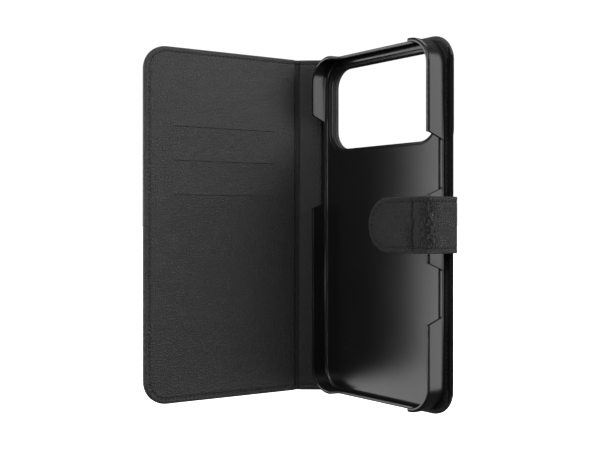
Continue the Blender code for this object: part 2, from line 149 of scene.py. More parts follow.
# %% Backdrop
BACKDROP_ON_CASE, BACKDROP_SEEN = 0.07, 1.05
world = bpy.data.worlds.new("studio")
world.use_nodes = True
backdrop = world.node_tree
seen = backdrop.nodes.new("ShaderNodeLightPath")
level = backdrop.nodes.new("ShaderNodeMapRange")
level.inputs["To Min"].default_value = BACKDROP_ON_CASE
level.inputs["To Max"].default_value = BACKDROP_SEEN
backdrop.links.new(seen.outputs["Is Camera Ray"], level.inputs["Value"])
backdrop.links.new(level.outputs["Result"], backdrop.nodes["Background"].inputs["Strength"])
backdrop.nodes["Background"].inputs["Color"].default_value = (1, 1, 1, 1)
bpy.context.scene.world = world
print("backdrop strength on the case", BACKDROP_ON_CASE, "and as seen", BACKDROP_SEEN)

# %% Table
TABLE_TONE, TABLE_GLOW = 0.93, 1.6
table_mesh = bmesh.new()
bmesh.ops.create_grid(table_mesh, x_segments=1, y_segments=1, size=40)
table = bpy.data.objects.new("table", bpy.data.meshes.new("table"))
table_mesh.to_mesh(table.data)
table_mesh.free()
bpy.context.scene.collection.objects.link(table)
table_paint = bpy.data.materials.new("table_paint")
table_paint.use_nodes = True
table_shader = table_paint.node_tree.nodes["Principled BSDF"]
table_shader.inputs["Base Color"].default_value = (TABLE_TONE, TABLE_TONE, TABLE_TONE, 1)
table_shader.inputs["Roughness"].default_value = 0.9
table_shader.inputs["Emission Color"].default_value = (1, 1, 1, 1)
table_shader.inputs["Emission Strength"].default_value = TABLE_GLOW
table.data.materials.append(table_paint)
table.visible_diffuse = table.visible_glossy = False
print("table tone", TABLE_TONE, "glow", TABLE_GLOW)

# %% [markdown]
# ## The finishes
#
# The case is covered with a man-made leather: a soft plastic skin that is pressed with a pebble
# grain. Cells give the pebbles and paint shade into the grooves between them, a finer noise gives
# the pores, and a slow noise makes the tone uneven. The pattern reads the flat place of each point,
# which is stored before the leather is folded, so it follows the leather in every pose.
#
# Where leather is pressed into a crease, a stored attribute makes it duller and paints shade
# into its colour. A cut edge is painted: the free edge of the back has such a black, dull finish.
# The outermost strip of its lining gets the same black, dull material as painted shade beside the
# tray's wall.


# %% Helpers for materials
def new_surface(name):
    """A material, its node tree and its shader."""
    surface = bpy.data.materials.new(name)
    surface.use_nodes = True
    return surface, surface.node_tree, surface.node_tree.nodes["Principled BSDF"]


def node(tree, kind, inputs=None, **settings):
    """Add a node, set what it does, and wire or fill its inputs."""
    made = tree.nodes.new(kind)
    for key, value in settings.items():
        setattr(made, key, value)
    for key, value in (inputs or {}).items():
        if isinstance(value, bpy.types.NodeSocket):
            tree.links.new(value, made.inputs[key])
        else:
            made.inputs[key].default_value = value
    return made


def in_mm(tree, flat):
    """Coordinates in millimetres: of the flat leather, or of the object."""
    if flat:
        place = node(tree, "ShaderNodeAttribute", attribute_name="flat_place").outputs["Vector"]
    else:
        place = node(tree, "ShaderNodeTexCoord").outputs["Object"]
    return node(tree, "ShaderNodeMapping", {"Vector": place, "Scale": (1000, 1000, 1000)}).outputs["Vector"]


def spread(tree, value, low, high, to_low, to_high):
    """Map a value from one span to another."""
    return node(tree, "ShaderNodeMapRange", {"Value": value, "From Min": low, "From Max": high,
                                             "To Min": to_low, "To Max": to_high}).outputs["Result"]


def tones(tree, value, dark, light):
    """Colour between two tones."""
    ramp = node(tree, "ShaderNodeValToRGB", {"Fac": value})
    ramp.color_ramp.elements[0].color = (*dark, 1)
    ramp.color_ramp.elements[1].color = (*light, 1)
    return ramp.outputs["Color"]


def bump(tree, height, distance, strength, under=None):
    """Bump from a height, over an earlier bump."""
    inputs = {"Height": height, "Distance": distance, "Strength": strength}
    if under is not None:
        inputs["Normal"] = under
    return node(tree, "ShaderNodeBump", inputs).outputs["Normal"]


# %% Pebbled leather
WANDER_SCALE, PORE_SCALE, SLOW_SCALE = 0.9, 3.2, 0.06
PEBBLE_GROOVE, PEBBLE_STRENGTH = 0.28, 0.9
PORE_RELIEF, PORE_STRENGTH = 0.00009, 0.45
PRESS_DULLNESS = 0.35
LEATHER_SPECULAR, LEATHER_SHEEN, SHEEN_ROUGHNESS = 0.62, 0.06, 0.5


def pebbled_leather(name, dark, light, pebble, rough, relief):
    """Man-made leather with a pebble grain of the given size in millimetres."""
    surface, tree, shader = new_surface(name)
    place = in_mm(tree, True)
    wander = node(tree, "ShaderNodeTexNoise", {"Vector": place, "Scale": WANDER_SCALE, "Detail": 2.0})
    mixed = node(tree, "ShaderNodeVectorMath", {0: wander.outputs["Color"], 1: (0.5, 0.5, 0.5)},
                 operation="MULTIPLY")
    bent = node(tree, "ShaderNodeVectorMath", {0: place, 1: mixed.outputs[0]}, operation="ADD").outputs[0]
    cells = node(tree, "ShaderNodeTexVoronoi", {"Vector": bent, "Scale": 1 / pebble},
                 feature="DISTANCE_TO_EDGE").outputs["Distance"]
    pebbles = spread(tree, cells, 0.0, PEBBLE_GROOVE, 0.0, 1.0)
    pores = node(tree, "ShaderNodeTexNoise",
                 {"Vector": place, "Scale": PORE_SCALE, "Detail": 3.0}).outputs["Fac"]
    slow = node(tree, "ShaderNodeTexNoise",
                {"Vector": place, "Scale": SLOW_SCALE, "Detail": 3.0}).outputs["Fac"]
    press_shade_in = node(tree, "ShaderNodeAttribute", attribute_name="press").outputs["Fac"]
    # Painted shade: the grooves between pebbles are darker in colour; a slow noise varies the tone at random.
    tone = node(tree, "ShaderNodeMath", {0: spread(tree, pebbles, 0, 1, -0.30, 0.16),
                                         1: spread(tree, slow, 0, 1, 0.42, 0.58)}, operation="ADD")
    # Painted crease shade: the stored value darkens the colour, and also makes it duller.
    tone = node(tree, "ShaderNodeMath", {0: tone.outputs[0], 1: press_shade_in}, operation="SUBTRACT")
    tree.links.new(tones(tree, spread(tree, tone.outputs[0], 0.25, 0.8, 0, 1), dark, light),
                   shader.inputs["Base Color"])
    worn = node(tree, "ShaderNodeMath", {0: spread(tree, pores, 0.3, 0.7, rough - 0.07, rough + 0.09),
                                         1: spread(tree, press_shade_in, 0, 1, 0, PRESS_DULLNESS)},
                operation="ADD")
    tree.links.new(worn.outputs[0], shader.inputs["Roughness"])
    grain = bump(tree, pebbles, relief, PEBBLE_STRENGTH)
    tree.links.new(bump(tree, pores, PORE_RELIEF, PORE_STRENGTH, grain), shader.inputs["Normal"])
    shader.inputs["Specular IOR Level"].default_value = LEATHER_SPECULAR
    shader.inputs["Sheen Weight"].default_value = LEATHER_SHEEN
    shader.inputs["Sheen Roughness"].default_value = SHEEN_ROUGHNESS
    return surface


skin_leather = pebbled_leather("skin_leather", (0.012, 0.012, 0.0125), (0.027, 0.027, 0.028),
                               pebble=1.25, rough=0.50, relief=0.00022)
lining_leather = pebbled_leather("lining_leather", (0.010, 0.010, 0.0105), (0.022, 0.022, 0.023),
                                 pebble=1.25, rough=0.53, relief=0.00014)
strap_leather = pebbled_leather("strap_leather", (0.006, 0.006, 0.0065), (0.052, 0.052, 0.053),
                                pebble=1.0, rough=0.50, relief=0.00045)
# Black, dull material: edge paint on the cut edge of the back, painted shade on the lining's strip beside the
# tray's wall.
edge_paint = pebbled_leather("edge_paint", (0.002, 0.002, 0.002), (0.005, 0.005, 0.005),
                             pebble=0.8, rough=0.72, relief=0.00010)
edge_and_shade_shader = edge_paint.node_tree.nodes["Principled BSDF"]
edge_and_shade_shader.inputs["Specular IOR Level"].default_value = 0.15
edge_and_shade_shader.inputs["Sheen Weight"].default_value = 0.0
print("leathers ready")

# %% [markdown]
# The tray is black polycarbonate from a polished mould. Its gloss isn't quite even: a faint orange
# peel and slow changes of roughness break up the reflections.


# %% Moulded plastic
def moulded_plastic(name, colour, rough):
    """Glossy moulded plastic with a faint orange peel."""
    surface, tree, shader = new_surface(name)
    place = in_mm(tree, False)
    peel, haze, dust = [node(tree, "ShaderNodeTexNoise", {"Vector": place, "Scale": scale, "Detail": 2.0})
                        .outputs["Fac"] for scale in (0.45, 0.04, 6.0)]
    lighter = [value * 1.3 for value in colour]
    tree.links.new(tones(tree, haze, colour, lighter), shader.inputs["Base Color"])
    tree.links.new(spread(tree, haze, 0.0, 1.0, rough - 0.05, rough + 0.05), shader.inputs["Roughness"])
    skin = bump(tree, peel, 0.00002, 0.2)
    tree.links.new(bump(tree, dust, 0.000004, 0.2, skin), shader.inputs["Normal"])
    shader.inputs["IOR"].default_value = 1.52
    return surface


tray_plastic = moulded_plastic("tray_plastic", (0.008, 0.008, 0.0083), rough=0.25)
print("tray plastic ready")

# %% [markdown]
# The hidden parts show at cut edges and in the card slits, so they get finishes of their own:
# twisted thread, black board, woven pocket cloth, foam spacer, double-sided tape, and plated steel
# for the keeper and the magnet.


# %% Thread, board, cloth, tape and metal
def twisted_thread(name, dark, light):
    """Sewing thread: fine slanted strands."""
    surface, tree, shader = new_surface(name)
    place = in_mm(tree, True)
    turned = node(tree, "ShaderNodeMapping",
                  {"Vector": place, "Rotation": (0.6, 0.5, 0.7)}).outputs["Vector"]
    strands = node(tree, "ShaderNodeTexWave", {"Vector": turned, "Scale": 2.2, "Distortion": 0.6})
    tree.links.new(tones(tree, strands.outputs["Fac"], dark, light), shader.inputs["Base Color"])
    tree.links.new(bump(tree, strands.outputs["Fac"], 0.00006, 0.7), shader.inputs["Normal"])
    shader.inputs["Roughness"].default_value = 0.7
    shader.inputs["Specular IOR Level"].default_value = 0.3
    return surface


def fibrous(name, dark, light, scale, rough):
    """Board, foam or tape: flecks of two tones, matte and slightly uneven."""
    surface, tree, shader = new_surface(name)
    place = in_mm(tree, False)
    flecks = node(tree, "ShaderNodeTexNoise",
                  {"Vector": place, "Scale": scale, "Detail": 5.0}).outputs["Fac"]
    tree.links.new(tones(tree, spread(tree, flecks, 0.3, 0.7, 0, 1), dark, light),
                   shader.inputs["Base Color"])
    tree.links.new(spread(tree, flecks, 0.3, 0.7, rough - 0.1, rough), shader.inputs["Roughness"])
    tree.links.new(bump(tree, flecks, 0.00008, 0.4), shader.inputs["Normal"])
    return surface


def woven_cloth(name, dark, light, pitch):
    """Plain weave: two bands of threads at right angles."""
    surface, tree, shader = new_surface(name)
    place = in_mm(tree, False)
    warp, weft = [node(tree, "ShaderNodeTexWave", {"Vector": place, "Scale": 0.5 / pitch},
                       bands_direction=way).outputs["Fac"] for way in ("Y", "Z")]
    both = node(tree, "ShaderNodeMath", {0: warp, 1: weft}, operation="MULTIPLY")
    tree.links.new(tones(tree, both.outputs[0], dark, light), shader.inputs["Base Color"])
    tree.links.new(bump(tree, both.outputs[0], 0.00008, 0.6), shader.inputs["Normal"])
    shader.inputs["Roughness"].default_value = 0.88
    return surface


def plated_metal(name, tone, rough):
    """Plated steel with a fine brushed haze."""
    surface, tree, shader = new_surface(name)
    place = in_mm(tree, False)
    haze = node(tree, "ShaderNodeTexNoise", {"Vector": place, "Scale": 2.0, "Detail": 4.0}).outputs["Fac"]
    tree.links.new(tones(tree, haze, [tone * 0.85] * 3, [tone] * 3), shader.inputs["Base Color"])
    tree.links.new(spread(tree, haze, 0.3, 0.7, rough - 0.08, rough + 0.08), shader.inputs["Roughness"])
    tree.links.new(bump(tree, haze, 0.00001, 0.2), shader.inputs["Normal"])
    shader.inputs["Metallic"].default_value = 1.0
    return surface


seam_thread = twisted_thread("seam_thread", (0.008, 0.008, 0.0085), (0.026, 0.026, 0.027))
hidden_finishes = {
    "board": fibrous("black_board", (0.010, 0.010, 0.010), (0.024, 0.024, 0.024), scale=1.8, rough=0.95),
    "camera_surround": fibrous("foam_spacer", (0.03, 0.03, 0.03), (0.06, 0.06, 0.06), scale=3.0, rough=0.9),
    "tray_adhesive": fibrous("film_tape", (0.012, 0.012, 0.012), (0.020, 0.020, 0.021), scale=0.4, rough=0.6),
    "card_pocket": woven_cloth("pocket_cloth", (0.010, 0.010, 0.011), (0.030, 0.030, 0.032), pitch=0.35),
    "keeper_plate": plated_metal("keeper_steel", tone=0.5, rough=0.35),
    "clasp_magnet": plated_metal("magnet_nickel", tone=0.6, rough=0.28),
}
for name, thing in frame["nodes"].items():
    for key, surface in hidden_finishes.items():
        if key in name:
            thing.data.materials.clear()
            thing.data.materials.append(surface)
print("finishes:", len(bpy.data.materials))

# %% [markdown]
# ## How flat leather is folded
#
# A path says where the leather runs, seen from above: where it starts, which way it heads, and
# where it turns. Each turn is a round bend that begins and ends a little before and after the hinge
# axis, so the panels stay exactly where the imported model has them.


# %% Paths and folding
def unit(angle):
    """Level direction at an angle from +X."""
    return Vector((cos(angle), sin(angle)))


class Path:
    """Where leather runs. side is +1 where the inside is on the left of its heading, -1 on the right."""

    def __init__(self, start, heading, side, folds, ease):
        self.start, self.heading, self.side, self.folds, self.ease = start, heading, side, folds, ease

    def place(self, reach, depth):
        """Point at a reach along the path and a depth towards the inside."""
        spot, heading, done = self.start, self.heading, 0.0
        for fold_at, turn in self.folds:
            begin = fold_at - self.ease
            if reach <= begin:
                break
            if reach < fold_at + self.ease:
                radius = self.ease / tan(turn / 2)
                inward = unit(heading + self.side * pi / 2)
                middle = spot + unit(heading) * (begin - done) + inward * radius
                turned = heading + self.side * turn * (reach - begin) / (2 * self.ease)
                return middle - unit(turned + self.side * pi / 2) * (radius - depth)
            spot = spot + unit(heading) * (fold_at - done)
            heading, done = heading + self.side * turn, fold_at
        return spot + unit(heading) * (reach - done) + unit(heading + self.side * pi / 2) * depth


WALLET_EASE = 2.0 * MM
wallet = Path(Vector((back_edge, spine_spot.y)), pi, 1,
              ((back_reach, spine_turn), (cover_crease, cover_turn)), WALLET_EASE)
end = wallet.place(far_reach, 0)
print("free edge of the cover:", [round(value, 4) for value in end], "packed:", cover_far)

# %% [markdown]
# ## How a flat piece is made
#
# A piece begins as one quad. Bevelling its corner points rounds them, and its edge becomes the
# first ring. Each next ring is extruded from the last one, moved outward or inward, and set to a
# new depth. So one list of steps draws the section of an edge, a rolled seam or a moulded wall. The
# two ends are filled flat, around any holes.


# %% Rings
SAME_SPOT = 1e-7


def ring(work, rect, radii, depth, segments=10):
    """Closed ring of edges round a rectangle. radii round its corners at the low end and at the high end."""
    low, high, bottom, top = rect
    sketch = bmesh.new()
    bmesh.ops.create_grid(sketch, x_segments=1, y_segments=1, size=0.5)
    bmesh.ops.scale(sketch, verts=sketch.verts, vec=(high - low, top - bottom, 1))
    for side, radius in ((-1, radii[0]), (1, radii[1])):
        corners = [corner for corner in sketch.verts if corner.co.x * side > 0]
        bmesh.ops.bevel(sketch, geom=corners, offset=radius, offset_type="OFFSET", segments=segments,
                        profile=0.5, affect="VERTICES", material=-1)
    sketch.faces.ensure_lookup_table()
    middle = ((low + high) / 2, (bottom + top) / 2)
    spots = [work.verts.new((corner.co.x + middle[0], depth, corner.co.y + middle[1]))
             for corner in sketch.faces[0].verts]
    sketch.free()
    return [work.edges.new((spots[number - 1], spots[number])) for number in range(len(spots))]


def next_ring(work, edges, rect, radii, grow, depth):
    """Extrude a ring, move the new one outward by grow, and set its depth."""
    low, high, bottom, top = rect
    middle = (low + high) / 2
    made = bmesh.ops.extrude_edge_only(work, edges=edges)["geom"]
    spots = {thing for thing in made if isinstance(thing, bmesh.types.BMVert)}
    for spot in spots:
        radius = radii[0] if spot.co.x < middle else radii[1]
        core_x = min(max(spot.co.x, low + radii[0]), high - radii[1])
        core_z = min(max(spot.co.z, bottom + radius), top - radius)
        away = Vector((spot.co.x - core_x, 0, spot.co.z - core_z))
        if away.length > 1e-9:
            spot.co += away.normalized() * grow
        spot.co.y = depth
    return [thing for thing in made if isinstance(thing, bmesh.types.BMEdge) and set(thing.verts) <= spots]


def rings(work, rect, radii, steps, segments=10):
    """Rings through a list of (outward from the rectangle, depth). Returns the first ring and the last."""
    out, depth = steps[0]
    start = (rect[0] - out, rect[1] + out, rect[2] - out, rect[3] + out)
    first = last = ring(work, start, [radius + out for radius in radii], depth, segments)
    for to_out, depth in steps[1:]:
        grown = (rect[0] - out, rect[1] + out, rect[2] - out, rect[3] + out)
        last = next_ring(work, last, grown, [radius + out for radius in radii], to_out - out, depth)
        out = to_out
    return first, last


def fill(work, *loops):
    """Flat faces between an outer ring and the rings of its holes."""
    bmesh.ops.triangle_fill(work, use_beauty=True, use_dissolve=False,
                            edges=[edge for loop in loops for edge in loop])


# %% [markdown]
# A folded piece needs columns of points across each bend, so it is sliced there before it is
# folded. The wallet's skin and lining would bulge if each were one piece that rides on three
# bodies, and a blend joins only two. So each is cut in two along the middle of the spine, where
# nothing moves, and the halves meet edge to edge.


# %% Slicing, folding and finishing a piece
def slices(work, axis, places):
    """Cut across the piece at places along an axis, keeping both sides."""
    way = Vector((1, 0, 0)) if axis == "reach" else Vector((0, 0, 1))
    for place in places:
        bmesh.ops.bisect_plane(work, geom=work.verts[:] + work.edges[:] + work.faces[:], dist=SAME_SPOT,
                               plane_co=way * place, plane_no=way)


def trim(work, reach, keep_low):
    """Cut the piece off at a reach and close the cut."""
    cut = bmesh.ops.bisect_plane(work, geom=work.verts[:] + work.edges[:] + work.faces[:], dist=SAME_SPOT,
                                 plane_co=(reach, 0, 0), plane_no=(1, 0, 0),
                                 clear_outer=keep_low, clear_inner=not keep_low)["geom_cut"]
    rim = [thing for thing in cut if isinstance(thing, bmesh.types.BMEdge)]
    bmesh.ops.triangle_fill(work, use_beauty=True, use_dissolve=False, edges=rim)


def span(low, high, step):
    """Even places from low to high, about a step apart."""
    count = max(1, round((high - low) / step))
    return [low + (high - low) * number / count for number in range(count + 1)]


def finish_piece(name, work, surface, path=None, sharp=35, painted=0.0):
    """Store the flat places, fold the piece along its path, and make it an object.

    sharp is the angle past which an edge stays sharp. Faces nearer to the free edge of the back than
    painted get the black edge material: edge paint on a cut edge, painted shade on the lining.
    """
    flat = work.verts.layers.float_vector.new("flat_place")
    bmesh.ops.remove_doubles(work, verts=work.verts, dist=SAME_SPOT)
    for spot in work.verts:
        spot[flat] = (spot.co.x, spot.co.z, spot.co.y)
        if path:
            across = path.place(spot.co.x, spot.co.y)
            spot.co = (across.x, across.y, spot.co.z + mid_height)
    work.normal_update()
    bmesh.ops.recalc_face_normals(work, faces=work.faces)
    for face in work.faces:
        face.smooth = True
        if painted and max(spot[flat][0] for spot in face.verts) < painted:
            face.material_index = 1
    mesh = bpy.data.meshes.new(name)
    work.to_mesh(mesh)
    open_edges = sum(1 for edge in work.edges if len(edge.link_faces) != 2)
    volume = work.calc_volume(signed=True)
    work.free()
    mesh.set_sharp_from_angle(angle=radians(sharp))
    mesh.materials.append(surface)
    if painted:
        mesh.materials.append(edge_paint)
    piece = bpy.data.objects.new(name, mesh)
    bpy.context.scene.collection.objects.link(piece)
    print(name, "faces", len(mesh.polygons), "open edges", open_edges,
          "volume in mm3", round(volume / MM ** 3))
    return piece


# %% [markdown]
# ## The pressed creases
#
# There is no board at a crease: the lining is pressed down onto the skin there and forms the dark
# band beside the cover; the band is also darkened with painted shade. Pressing moves every point
# deeper than the skin towards it, most at the crease itself.

# %% Pressed crease
PRESS_FLAT, PRESS_END, PRESS_CLEAR = 1.3 * MM, 2.5 * MM, 0.05 * MM
# How much painted shade darkens the colour at a crease.
CREASE_PAINTED_SHADE = 0.5
FINE_SLICE = 0.25 * MM
fold_reaches = [back_reach, cover_crease]
crease_columns = sorted({round(fold + side * place, 7) for fold in fold_reaches for side in (-1, 1)
                         for place in span(0, 3.0 * MM, FINE_SLICE)})
print("slices at the creases:", len(crease_columns))


def eased(share):
    """Soft step: 0 at 0 and 1 at 1, level at both ends."""
    return share * share * (3 - 2 * share)


def pressed(work, base):
    """Press a layer towards the skin at both creases. base is the depth of the layer's lower side."""
    press = work.verts.layers.float.new("press")
    for spot in work.verts:
        if spot.co.y <= LEATHER + SAME_SPOT:
            continue
        for fold in fold_reaches:
            away = abs(spot.co.x - fold)
            if away < PRESS_END:
                share = eased(min(1.0, (PRESS_END - away) / (PRESS_END - PRESS_FLAT)))
                # Painted shade: the colour gets darker towards the crease.
                spot[press] = CREASE_PAINTED_SHADE * share
                above_skin = min(1.0, (spot.co.y - LEATHER) / (base - LEATHER))
                spot.co.y -= share * (base - LEATHER - PRESS_CLEAR) * above_skin


# %% [markdown]
# ## The outer skin
#
# The skin is turned up at its edge, so it hides the ends of the boards and carries the lining.
# Around the camera window the back is raised over a foam spacer. The skin is pulled over it and
# turned into the window.

# %% Outer skin
whole = (0.0, far_reach, -half_height, half_height)
camera_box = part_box("camera_surround")
SPACER_GAP = 0.85 * MM
plateau = (back_edge - camera_box[1].x - SPACER_GAP, back_edge - camera_box[0].x + SPACER_GAP,
           camera_box[0].z - mid_height - SPACER_GAP, camera_box[1].z - mid_height + SPACER_GAP)
PLATEAU_CORNER, PLATEAU_RISE = 10.6 * MM, 1.4 * MM
tray_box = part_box("phone_tray")
tray = (back_edge - tray_box[1].x, back_edge - tray_box[0].x,
        tray_box[0].z - mid_height, tray_box[1].z - mid_height)
WINDOW_SIDE, WINDOW_TOP, WINDOW_HIGH, WINDOW_CORNER = 5.2 * MM, 5.15 * MM, 40.3 * MM, 9.5 * MM
window = (tray[0] + WINDOW_SIDE, tray[1] - WINDOW_SIDE,
          tray[3] - WINDOW_TOP - WINDOW_HIGH, tray[3] - WINDOW_TOP)
corners, window_corners = (PANEL_CORNER, PANEL_CORNER), (WINDOW_CORNER, WINDOW_CORNER)
print("window in mm:", [round(size / MM, 1) for size in (window[1] - window[0], window[3] - window[2])])


def seam_section(top, out, way):
    """Steps over a rolled edge and the groove of a seam. way is +1 on the inside, -1 on the outside."""
    steps = ((0.0, 0.35), (0.06, 0.16), (0.18, 0.05), (0.38, 0.0), (0.9, -0.05), (1.6, 0.0), (2.0, 0.16),
             (2.30, 0.25), (2.60, 0.16), (3.0, 0.0), (3.4, 0.0))
    return [(out - inward * MM, top - way * drop * MM) for inward, drop in steps]


def outer_skin(turned_up, with_back):
    """The outer skin, flat: turned up at its edge, and raised at the camera window of the back."""
    work = bmesh.new()
    outside = seam_section(0.0, 0.0, -1)
    if with_back:
        outside = outside[:4] + [(-0.6 * MM, 0.0)]
    inside = [(0.0, turned_up - 0.25 * MM), (-0.1 * MM, turned_up - 0.06 * MM), (-0.3 * MM, turned_up),
              (-0.95 * MM, turned_up), (-1.1 * MM, turned_up - 0.1 * MM), (-1.12 * MM, LEATHER),
              (-1.6 * MM, LEATHER)]
    outer, inner = rings(work, whole, corners, outside[::-1] + inside)
    if with_back:
        radii = (PLATEAU_CORNER, PLATEAU_CORNER)
        foot, shoulder = rings(work, plateau, radii, [
            (0.35 * MM, 0.0), (0.1 * MM, -0.12 * MM), (0.0, -0.4 * MM), (0.0, -0.85 * MM),
            (-0.12 * MM, -1.18 * MM), (-0.4 * MM, -1.36 * MM), (-0.8 * MM, -PLATEAU_RISE),
            (-1.4 * MM, -PLATEAU_RISE)])
        lip, wrap = rings(work, window, window_corners, [
            (0.5 * MM, -PLATEAU_RISE), (0.1 * MM, -PLATEAU_RISE), (-0.15 * MM, -1.25 * MM),
            (-0.2 * MM, -1.0 * MM), (-0.2 * MM, LEATHER), (-0.03 * MM, LEATHER),
            (-0.03 * MM, LEATHER - PLATEAU_RISE)])
        pocket, mouth = rings(work, plateau, radii, [
            (-0.75 * MM, LEATHER - PLATEAU_RISE), (-0.75 * MM, LEATHER)])
        fill(work, outer, foot)
        fill(work, shoulder, lip)
        fill(work, pocket, wrap)
        fill(work, inner, mouth)
    else:
        fill(work, outer)
        fill(work, inner)
    slices(work, "reach", crease_columns)
    pressed(work, LINING_BASE)
    return work


TURNED_UP = LINING_BASE - 0.04 * MM
# The skin's cut edge is painted; the lining's wider strip is painted shade beside the tray's wall.
SKIN_PAINTED, LINING_PAINTED_SHADE = 0.5 * MM, 2.0 * MM
mid_spine = back_reach + spine_reach / 2
work = outer_skin(TURNED_UP, with_back=True)
trim(work, mid_spine, True)
skin_back = finish_piece("outer_skin_back", work, skin_leather, wallet, painted=SKIN_PAINTED)
work = outer_skin(TURNED_UP, with_back=False)
for spot in work.verts:
    if spot.co.y > LEATHER + 0.01 * MM and spot.co.x > cover_crease + PRESS_END:
        above_skin = min(1.0, (spot.co.y - LEATHER) / (LINING_BASE - LEATHER))
        spot.co.y += (CARD_BASE - LINING_BASE) * above_skin
trim(work, mid_spine, False)
skin_cover = finish_piece("outer_skin_cover", work, skin_leather, wallet)

# %% [markdown]
# ## The lining and the card panel
#
# The lining lies on the turned-up edge of the skin, a little inside it. On the cover it is the card
# panel, raised by the pocket cloth under it, with three slits. Each slit is pressed in at its lips,
# as a card wears it.

# %% Lining
LINING_SETBACK = 0.3 * MM
SLIT_HALF, SLIT_TOP, SLIT_PITCH = 27.29 * MM, 37.6 * MM, 16.3 * MM
SLIT_HALF_GAP, SLIT_ROUND = 0.05 * MM, 0.04 * MM
slit_middle = cover_crease + cover_reach / 2


def lining_layer(base, top, with_window):
    """Flat lining with a rolled edge and the groove of its seam, and with its window or its card slits."""
    work = bmesh.new()
    steps = [(-LINING_SETBACK - 0.3 * MM, base), (-LINING_SETBACK, base + 0.12 * MM)]
    bottom, upper = rings(work, whole, corners, steps + seam_section(top, -LINING_SETBACK, 1))
    holes = []
    if with_window:
        holes.append(rings(work, window, window_corners, [
            (0.3 * MM, top), (0.08 * MM, top - 0.08 * MM), (0.0, top - 0.2 * MM), (0.0, base)]))
    else:
        for number in range(3):
            height = half_height - SLIT_TOP - number * SLIT_PITCH
            rect = (slit_middle - SLIT_HALF, slit_middle + SLIT_HALF,
                    height - SLIT_HALF_GAP, height + SLIT_HALF_GAP)
            holes.append(rings(work, rect, (SLIT_ROUND, SLIT_ROUND), [
                (0.6 * MM, top), (0.3 * MM, top + 0.03 * MM), (0.08 * MM, top - 0.02 * MM),
                (0.0, top - 0.12 * MM), (0.0, base)], segments=4))
    fill(work, upper, *[hole[0] for hole in holes])
    fill(work, bottom, *[hole[1] for hole in holes])
    slices(work, "reach", crease_columns)
    pressed(work, base)
    return work


work = lining_layer(LINING_BASE, LINING_TOP, True)
trim(work, mid_spine, True)
lining_back = finish_piece("lining_back", work, lining_leather, wallet, painted=LINING_PAINTED_SHADE)
work = lining_layer(LINING_BASE, LINING_TOP, False)
for spot in work.verts:
    if spot.co.x > cover_crease + PRESS_FLAT:
        share = min(1.0, (spot.co.x - cover_crease - PRESS_FLAT) / (PRESS_END - PRESS_FLAT + 0.5 * MM))
        spot.co.y += (CARD_BASE - LINING_BASE) * eased(share)
trim(work, mid_spine, False)
card_lining = finish_piece("card_panel_lining", work, lining_leather, wallet)

# %% [markdown]
# ## The halves in place
#
# Each half is folded over one crease already. Here its place is baked into its mesh, and the
# imported pieces it stands for are hidden.


# %% Bake a piece in place
def bend_over(piece, first, second, spot, heading, reach):
    """Bake a piece's place into its mesh."""
    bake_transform(piece)


SPINE_WAY = pi + spine_turn / 2
COVER_WAY = pi + spine_turn + cover_turn / 2
CREASE_BLEND = 1.8 * MM
for piece, stands_for, material in (
        (skin_back, ("back_outer_leather", "spine_outer_leather"), "outer_leather"),
        (lining_back, ("back_lining", "spine_lining"), "lining_leather")):
    bend_over(piece, "back", "spine", spine_spot, SPINE_WAY, CREASE_BLEND)
    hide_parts(*stands_for)
for piece, stands_for, material in ((skin_cover, ("cover_outer_leather",), "outer_leather"),
                                    (card_lining, ("card_panel",), "lining_leather")):
    bend_over(piece, "spine", "front_cover", cover_spot, COVER_WAY, CREASE_BLEND)
    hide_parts(*stands_for)

# %% [markdown]
# ## The strap
#
# The strap is one strip of two leathers, sewn together round its edge. It starts on the outside of
# the back, turns round the free edge, runs past the tray and turns again over the cover. It is made
# flat with a round end. Use has left short creases before the second fold and one across the tip,
# so its upper leather is sliced finely there and pushed in by a noise that is stretched along the
# fold. Where it is pushed in, its colour is darkened with painted shade.

# %% Strap
STRAP_HALF_WIDTH, STRAP_FACE, STRAP_CORE = 12.4 * MM, 0.85 * MM, 0.05 * MM
STRAP_ROOT, STRAP_TIP, STRAP_EASE = 14.0 * MM, 37.5 * MM, 1.9 * MM
strap_start = Vector((back_edge - STRAP_ROOT, root_spot.y))
root_fold = root_spot.x - strap_start.x
tip_fold = root_fold + (tip_spot - root_spot).length
strap_end = tip_fold + STRAP_TIP
mid_side = (root_fold + tip_fold) / 2
strap_path = Path(strap_start, 0.0, -1, ((root_fold, pi / 2), (tip_fold, pi / 2)), STRAP_EASE)
strap_rect = (0.0, strap_end, -STRAP_HALF_WIDTH, STRAP_HALF_WIDTH)
STRAP_CORNERS = (4.0 * MM, STRAP_HALF_WIDTH)
DEEPEST_CREASE = 0.6 * MM
print("strap in mm: length", round(strap_end / MM, 1), "width", round(2 * STRAP_HALF_WIDTH / MM, 1))


# %% Worn creases
def valley(value, width):
    """1 in the middle of a valley of the given half width, 0 outside it."""
    return max(0.0, 1 - abs(value) / width)


